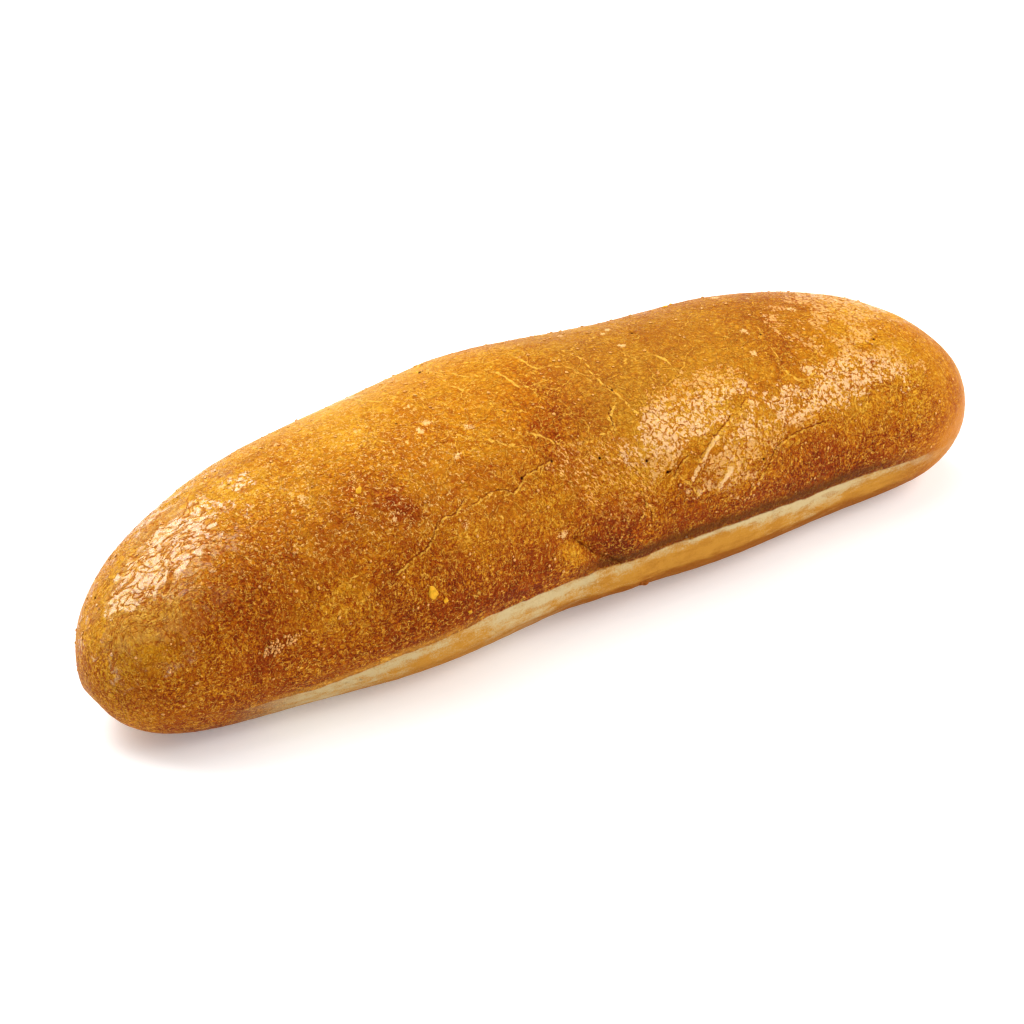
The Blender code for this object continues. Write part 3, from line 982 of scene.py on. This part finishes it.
def grainTree(name, values):  # scatters one kind of grain over the crust
    graph, value = startNodes(name + "Scatter", values, ("Seed", "Detail"))
    patchSize, fibreTurn = (crustLook["grain"][label] * mm for label in ("patch", "fibreTurn"))

    def randomShare(offset):  # from 0 to 1
        given = {2: 0.0, 3: 1.0, "Seed": value["Seed"] + offset}
        return graph.node("FunctionNodeRandomValue", {"data_type": "FLOAT"}, given, out=1)

    position = graph.node("GeometryNodeInputPosition")
    clumps = graph.noise(position, 1 / patchSize, 2.0, 0.6).ramp(0.38, 0.60)
    density = value["Density"] * (1.0 - value["Clumping"] * clumps)
    cluster = graph.stored("bubbleNear").bell(0.0, value["Cluster Width"]) * value["Cluster Density"]
    density = (density + cluster) * graph.stored("overLine").ramp(0.6, 3.0)
    density = density * graph.stored("along").ramp(0.98, 0.82, 0.3, 1.0)  # fewer at the right tip
    points = graph.node("GeometryNodeDistributePointsOnFaces", {}, {
        "Mesh": value["Geometry"], "Density": density, "Seed": value["Seed"]}, out="Points")
    outwards = Field(graph.tree, points.socket.node.outputs["Normal"])
    bead = graph.node("GeometryNodeMeshIcoSphere", {}, {"Radius": 1.0, "Subdivisions": value["Detail"]})
    shape = graph.node("ShaderNodeCombineXYZ", {}, {"X": value["Stretch"], "Y": 1.0, "Z": value["Rise"]})
    top = graph.node("ShaderNodeSeparateXYZ", {}, {"Vector": position}, out="Z")
    # the upper part of each grain is painted paler as a highlight, its foot darker as painted shade
    pale = graph.node("GeometryNodeStoreNamedAttribute", {"data_type": "FLOAT", "domain": "POINT"}, {
        "Geometry": bead, "Name": "raised", "Value": top.ramp(0.0, 0.6) * value["Paleness"]})
    footed = graph.node("GeometryNodeStoreNamedAttribute", {"data_type": "FLOAT", "domain": "POINT"}, {
        "Geometry": pale, "Name": "foot", "Value": top.ramp(0.5, 0.1) * value["Paleness"]})
    grain = graph.node("GeometryNodeTransform", {}, {"Geometry": footed, "Scale": shape})
    upright = graph.node("FunctionNodeAlignRotationToVector", {"axis": "Z"}, {"Vector": outwards})
    laid = graph.node("FunctionNodeAlignRotationToVector", {"axis": "X", "pivot_axis": "Z"},
                      {"Rotation": upright, "Vector": (1.0, 0.0, 0.0)})
    across = graph.noise(position, 1 / fibreTurn, 1.0).ramp(0.46, 0.54)
    angle = (1.0 - across) * 1.5 + (randomShare(1) - 0.5) * 2.0 * value["Turn"]
    spin = graph.node("FunctionNodeAxisAngleToRotation", {}, {"Axis": (0.0, 0.0, 1.0), "Angle": angle})
    turned = graph.node("FunctionNodeRotateRotation", {"rotation_space": "LOCAL"},
                        {"Rotation": laid, "Rotate By": spin})
    size = value["Smallest"] + (value["Largest"] - value["Smallest"]) * randomShare(2) ** 2.0
    spread = graph.node("GeometryNodeInstanceOnPoints", {}, {
        "Points": points, "Instance": grain, "Rotation": turned, "Scale": size})
    return endNodes(graph, spread, value["Finish"])


def addGrains(crust, material):
    pieces = []
    for name, values in grainKinds.items():
        piece = bpy.data.objects.new(name, crust.data.copy())
        bpy.context.scene.collection.objects.link(piece)
        useNodes(piece, grainTree(name, values), dict(values, Finish=material))
        piece.data.shade_smooth()
        print(name + ":", len(piece.data.polygons), "faces")
        pieces.append(piece)
    return pieces


def plainFinish(name, colour, roughness):  # one colour with a little grain
    material = bpy.data.materials.new(name)
    material.use_nodes = True
    graph = Graph(material.node_tree)
    shader = material.node_tree.nodes["Principled BSDF"]
    place = graph.node("ShaderNodeTexCoord", out="Object")
    grain = graph.noise(place, 1 / (0.8 * mm), 2.0).ramp(0.35, 0.65)
    darker = tuple(part * 0.75 for part in colour[:3]) + (1,)
    plug(graph.tree, shader.inputs["Base Color"], graph.mix(grain, colour, darker))
    shader.inputs["Roughness"].default_value = roughness
    shader.inputs["Specular IOR Level"].default_value = 0.1
    return material


flakes = {  # place in pixels of the frame; half width, half length and thickness in mm; turn in degrees
    "drop": ((433, 592), 0.95, 1.5, 0.28, 20),
    "dropTail": ((446, 600), 0.5, 0.6, 0.28, 0),
    "crumb": ((359, 490), 0.55, 0.9, 0.28, -20),
    "crumbLow": ((352, 500), 0.3, 0.5, 0.28, 30),
    "grain": ((470, 612), 0.35, 0.5, 0.28, 60),
}
drips = {  # at the base edge, as the flakes
    "drip": ((645, 582), 0.8, 0.5, 0.7, 0),
    "dripSide": ((641, 583), 0.5, 0.4, 0.5, 0),
}
bitFinish = {  # colour and roughness
    "doughFlake": (srgb(232, 172, 48), 0.5),
    "brownedDough": (srgb(166, 98, 34), 0.6),
}


def addBits(name, bits, bvh, material):  # small lumps on the crust, a turned copy of each on the back
    right, up, away = cameraAxes()
    bm = bmesh.new()
    for spot, halfWidth, halfLength, thickness, turn in bits.values():
        for side in (1, -1):
            point = throughView(bvh, spot)
            if side < 0:
                point = Vector((-point.x, -point.y, point.z))
            point, normal, index, distance = bvh.find_nearest(point)
            made = bmesh.ops.create_icosphere(bm, subdivisions=3, radius=1)["verts"]
            across = (right * side).cross(normal).cross(normal).normalized() * -1
            tall = normal.cross(across)
            frameOf = Matrix((across, tall, normal)).transposed().to_4x4()
            spin = Matrix.Rotation(math.radians(turn), 4, "Z")
            for vert in made:
                taper = 1 - 0.35 * vert.co.y
                lumpy = 1 + 0.1 * math.sin(vert.co.x * 5 + vert.co.y * 4)
                vert.co = Vector((vert.co.x * halfWidth * taper * lumpy, vert.co.y * halfLength * lumpy,
                                  vert.co.z * thickness)) * mm
            bmesh.ops.transform(bm, verts=made, matrix=Matrix.Translation(point) @ frameOf @ spin)
    bmesh.ops.recalc_face_normals(bm, faces=bm.faces)
    mesh = bpy.data.meshes.new(name)
    bm.to_mesh(mesh)
    bm.free()
    mesh.shade_smooth()
    mesh.materials.append(material)
    piece = bpy.data.objects.new(name, mesh)
    bpy.context.scene.collection.objects.link(piece)
    print(name + ":", len(bits), "on each side")
    return piece


def main():
    addCamera()
    addStudio()
    crust = smoothCopy()
    bvh = BVHTree.FromObject(crust, bpy.context.evaluated_depsgraph_get())
    refineNear(crust, closeSteps(surfaceLines(bvh, cracks)) + surfaceSpots(bvh, pits + paleSpots))
    storeMasks(crust, bvh)
    material = crustFinish()
    addRelief(crust, material)
    surface = BVHTree.FromObject(crust, bpy.context.evaluated_depsgraph_get())
    pieces = [crust] + addGrains(crust, material)
    pieces.append(addBits("flakes", flakes, surface, plainFinish("doughFlake", *bitFinish["doughFlake"])))
    pieces.append(addBits("drips", drips, surface, plainFinish("brownedDough", *bitFinish["brownedDough"])))
    for piece in pieces:
        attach(piece, "root")
        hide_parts("loaf")


main()
